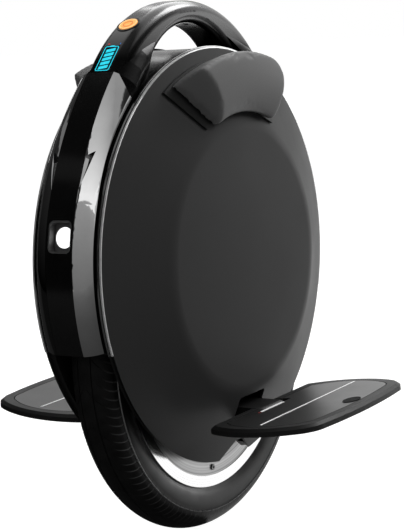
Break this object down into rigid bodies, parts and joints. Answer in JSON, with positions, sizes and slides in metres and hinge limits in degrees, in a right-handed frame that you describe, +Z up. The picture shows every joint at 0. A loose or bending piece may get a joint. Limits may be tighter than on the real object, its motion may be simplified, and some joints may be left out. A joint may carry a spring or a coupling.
{
  "type": "electric unicycle",
  "caption": "Electric unicycle: a hub-motor wheel in a round shell with a carrying handle, leg pads, lights, a power button and pedals that fold up at the sides.",
  "frame": {"origin": "on the ground below the wheel's centre", "axes": "+Z up, axle along X with the machine's left at +X, front towards -Y"},
  "size_m": [0.411, 0.465, 0.565],
  "materials": {
    "tyre_rubber": "satin black rubber with a fine tread",
    "tube_rubber": "plain black rubber",
    "polished_rim": "polished",
    "motor_cover": "fine brushed silver",
    "steel": "machined",
    "copper_coils": "enamelled copper wire",
    "hanger_metal": "satin black",
    "frame_plastic": "matt black",
    "black_gloss": "gloss black",
    "cheek_metal": "gunmetal mirror plating",
    "display_glass": "dark window over a lit sign",
    "button_ring": "gloss dark brown",
    "button_glow": "lit orange",
    "reflector": "bright plated",
    "lamp_white": "milky white lens",
    "lamp_red": "red lens",
    "socket_plastic": "matt black",
    "cap_rubber": "matt black rubber",
    "cover_satin": "soft-touch satin dark grey",
    "bright_trim": "thin bright trim",
    "light_ring": "pale light guide",
    "pad_base": "satin dark grey",
    "pad_rubber": "soft satin foam rubber",
    "pedal_metal": "satin dark grey",
    "grip_rubber": "fine grip texture",
    "battery_wrap": "blue shrink wrap",
    "sink_metal": "plain",
    "board": "green circuit board"
  },
  "bodies": {
    "chassis": {"axle": "steel", "axle_nuts": "steel", "axle_spacers": "steel", "battery_packs": "battery_wrap", "button_bezel": "button_ring", "charge_socket": "socket_plastic", "cheek_scoops": "black_gloss", "controller_board": "board", "display_window": "display_glass", "front_spine": "black_gloss", "handle": "black_gloss", "hanger_bolts": "steel", "headlight_housing": "black_gloss", "headlight_lens": "lamp_white", "headlight_reflector": "reflector", "heat_sink": "sink_metal", "left_cover": "cover_satin", "left_front_cheek": "cheek_metal", "left_hanger": "hanger_metal", "left_leg_pad": "pad_rubber", "left_light_ring": "light_ring", "left_pad_base": "pad_base", "left_rear_cheek": "cheek_metal", "left_side_plate": "frame_plastic", "outer_band": "black_gloss", "pedal_pins": "steel", "rear_spine": "black_gloss", "right_cover": "cover_satin", "right_front_cheek": "cheek_metal", "right_hanger": "hanger_metal", "right_leg_pad": "pad_rubber", "right_light_ring": "light_ring", "right_pad_base": "pad_base", "right_rear_cheek": "cheek_metal", "right_side_plate": "frame_plastic", "ring_carriers": "frame_plastic", "stator_core": "steel", "stator_windings": "copper_coils", "tail_light_lens": "lamp_red", "trim_rings": "bright_trim", "wheel_arch": "frame_plastic"},
    "wheel": {"tyre": "tyre_rubber", "inner_tube": "tube_rubber", "rim": "polished_rim", "valve_stem": "steel", "motor_ring": "steel", "rotor_magnets": "steel", "left_motor_cover": "motor_cover", "right_motor_cover": "motor_cover", "motor_cover_screws": "steel", "wheel_bearings": "steel"},
    "left_pedal": {"left_pedal": "pedal_metal", "left_grip_mat": "grip_rubber"},
    "right_pedal": {"right_pedal": "pedal_metal", "right_grip_mat": "grip_rubber"},
    "power_button": {"power_button": "button_glow"},
    "lift_switch": {"lift_switch": "black_gloss"},
    "charge_cap": {"charge_cap": "cap_rubber"}
  },
  "joints": [
    {"name": "wheel_spin", "type": "hinge", "parent": "chassis", "child": "wheel", "pos_m": [0, 0, 0.204], "axis": [1, 0, 0], "continuous": true},
    {"name": "left_pedal_fold", "type": "hinge", "parent": "chassis", "child": "left_pedal", "pos_m": [0.088, 0, 0.129], "axis": [0, -1, 0], "range_deg": [0, 80]},
    {"name": "right_pedal_fold", "type": "hinge", "parent": "chassis", "child": "right_pedal", "pos_m": [-0.088, 0, 0.129], "axis": [0, 1, 0], "range_deg": [0, 80]},
    {"name": "power_button_press", "type": "slide", "parent": "chassis", "child": "power_button", "axis": [0, 0.4721, -0.8815], "range_m": [0, 0.0012], "stiffness_N_per_m": 600},
    {"name": "lift_switch_press", "type": "slide", "parent": "chassis", "child": "lift_switch", "axis": [0, 0, 1], "range_m": [0, 0.0015], "stiffness_N_per_m": 600},
    {"name": "charge_cap_open", "type": "hinge", "parent": "chassis", "child": "charge_cap", "pos_m": [0, 0.17718, 0.45698], "axis": [1, 0, 0], "range_deg": [0, 110]}
  ]
}
